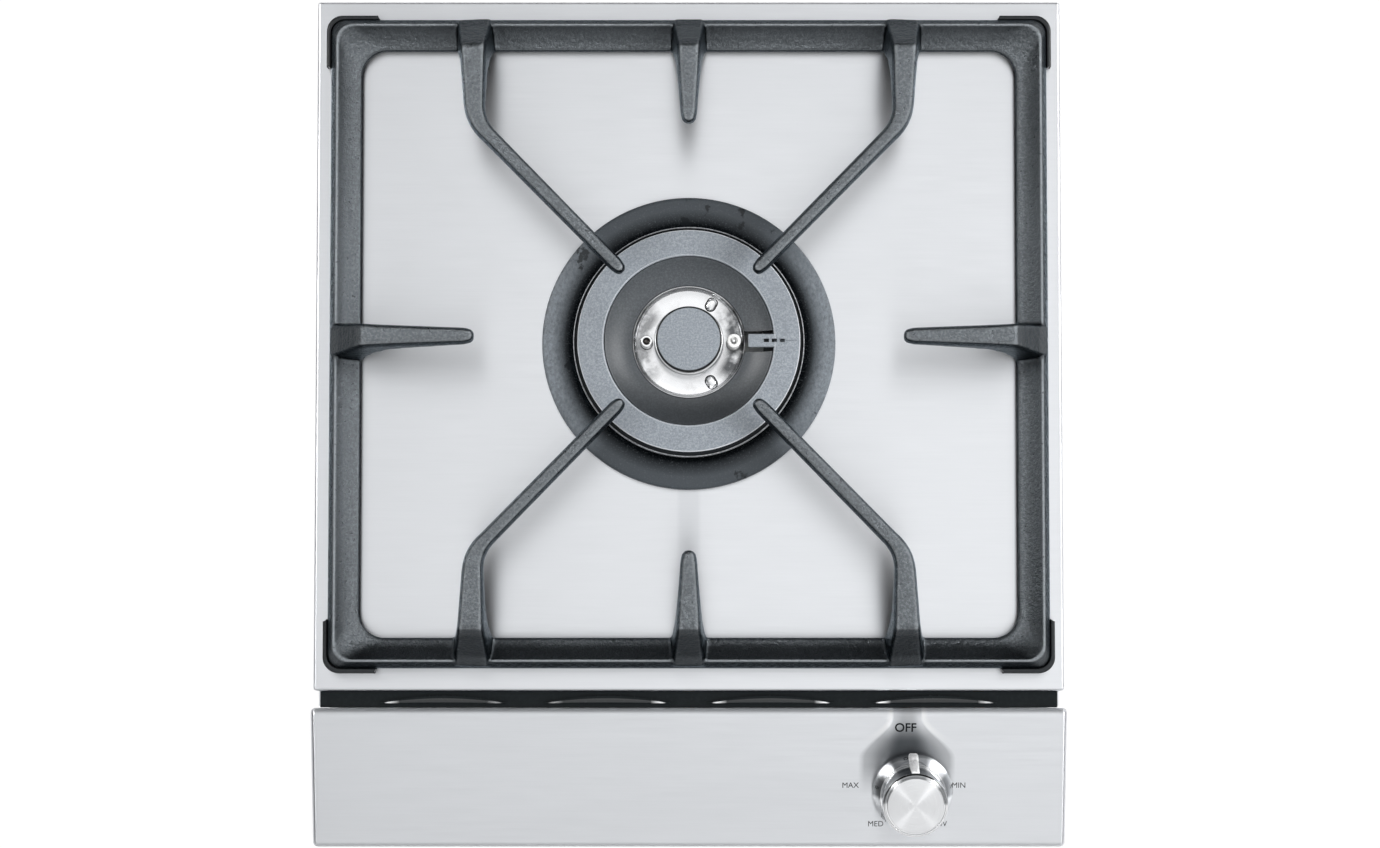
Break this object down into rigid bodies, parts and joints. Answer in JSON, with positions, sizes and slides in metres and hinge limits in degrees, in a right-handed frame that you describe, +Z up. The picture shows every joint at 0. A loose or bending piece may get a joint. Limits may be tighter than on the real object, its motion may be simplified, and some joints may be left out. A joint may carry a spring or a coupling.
{
  "type": "gas hot plate burner",
  "caption": "Single-burner gas hot plate: steel case on rubber feet, dual-ring burner, cast pan support that lifts off, sloping control panel with a push-and-turn knob.",
  "frame": {"origin": "middle of the footprint, on the bench the feet stand on", "axes": "+Z up, -Y towards the cook, where the control panel is, +X to the cook's right"},
  "size_m": [0.383, 0.4316, 0.14],
  "materials": {
    "stainless_steel": "brushed left to right",
    "screw_steel": "plated",
    "foot_rubber": "matt",
    "pad_rubber": "satin",
    "vent_black": "satin black",
    "cast_enamel": "speckled dark grey enamel",
    "black_enamel": "worn satin enamel",
    "grey_enamel": "fine matt enamel",
    "dark_enamel": "fine matt enamel",
    "cast_aluminium": "as cast",
    "polished_steel": "polished, heat stained",
    "electrode_ceramic": "glazed ceramic",
    "brass": "machined",
    "copper_pipe": "drawn copper tube",
    "black_plastic": "moulded",
    "lead_sheath": "silicone sheath",
    "knob_metal": "turned and polished"
  },
  "bodies": {
    "hob": {"top_plate": "stainless_steel", "control_panel": "stainless_steel", "side_panel_left": "stainless_steel", "side_panel_right": "stainless_steel", "rear_panel": "stainless_steel", "base_pan": "stainless_steel", "foot_screw_front_left": "screw_steel", "foot_screw_front_right": "screw_steel", "foot_screw_rear_left": "screw_steel", "foot_screw_rear_right": "screw_steel", "case_screw_front_left": "screw_steel", "case_screw_front_right": "screw_steel", "case_screw_rear_left": "screw_steel", "case_screw_rear_right": "screw_steel", "rear_screw_left": "screw_steel", "rear_screw_right": "screw_steel", "battery_cell": "screw_steel", "foot_front_left": "foot_rubber", "foot_front_right": "foot_rubber", "foot_rear_left": "foot_rubber", "foot_rear_right": "foot_rubber", "vent_strip": "vent_black", "burner_base_ring": "black_enamel", "burner_funnel": "dark_enamel", "burner_cup": "cast_aluminium", "outer_crown": "cast_aluminium", "inner_crown": "cast_aluminium", "injector_holder": "cast_aluminium", "burner_bowl": "polished_steel", "spark_electrode_pin": "polished_steel", "thermocouple_sleeve": "polished_steel", "spark_electrode_ceramic": "electrode_ceramic", "outer_injector": "brass", "inner_injector": "brass", "valve_body": "brass", "gas_inlet_fitting": "brass", "inlet_locknut": "brass", "thermocouple_tip": "brass", "outer_feed_pipe": "copper_pipe", "inner_feed_pipe": "copper_pipe", "inlet_pipe": "copper_pipe", "thermocouple_lead": "copper_pipe", "spark_generator": "black_plastic", "battery_box": "black_plastic", "ignition_switch": "black_plastic", "switch_lead": "black_plastic", "battery_lead": "black_plastic", "ignition_lead": "lead_sheath"},
    "pusher": {"stem_collar": "brass"},
    "knob": {"valve_stem": "brass", "knob_hub": "black_plastic", "knob_skirt": "knob_metal", "knob_barrel": "knob_metal"},
    "grid": {"pan_support": "cast_enamel", "corner_pad_front_left": "pad_rubber", "corner_pad_front_right": "pad_rubber", "corner_pad_rear_left": "pad_rubber", "corner_pad_rear_right": "pad_rubber"},
    "large_cap": {"outer_cap": "grey_enamel"},
    "small_cap": {"inner_cap": "grey_enamel"}
  },
  "joints": [
    {"name": "knob_push", "type": "slide", "parent": "hob", "child": "pusher", "axis": [0, 0.2521, -0.9677], "range_m": [0, 0.003], "stiffness_N_per_m": 2500},
    {"name": "knob_turn", "type": "hinge", "parent": "pusher", "child": "knob", "pos_m": [0.1134, -0.1872, 0.08911], "axis": [0, -0.2521, 0.9677], "range_deg": [0, 270]},
    {"name": "pan_support_lift", "type": "slide", "parent": "hob", "child": "grid", "axis": [0, 0, 1], "range_m": [0, 0.15]},
    {"name": "outer_cap_lift", "type": "slide", "parent": "hob", "child": "large_cap", "axis": [0, 0, 1], "range_m": [0, 0.075]},
    {"name": "inner_cap_lift", "type": "slide", "parent": "hob", "child": "small_cap", "axis": [0, 0, 1], "range_m": [0, 0.06]}
  ],
  "couplings": [
    {"joint": "outer_cap_lift", "follows": "pan_support_lift", "ratio": 0.5}
  ]
}
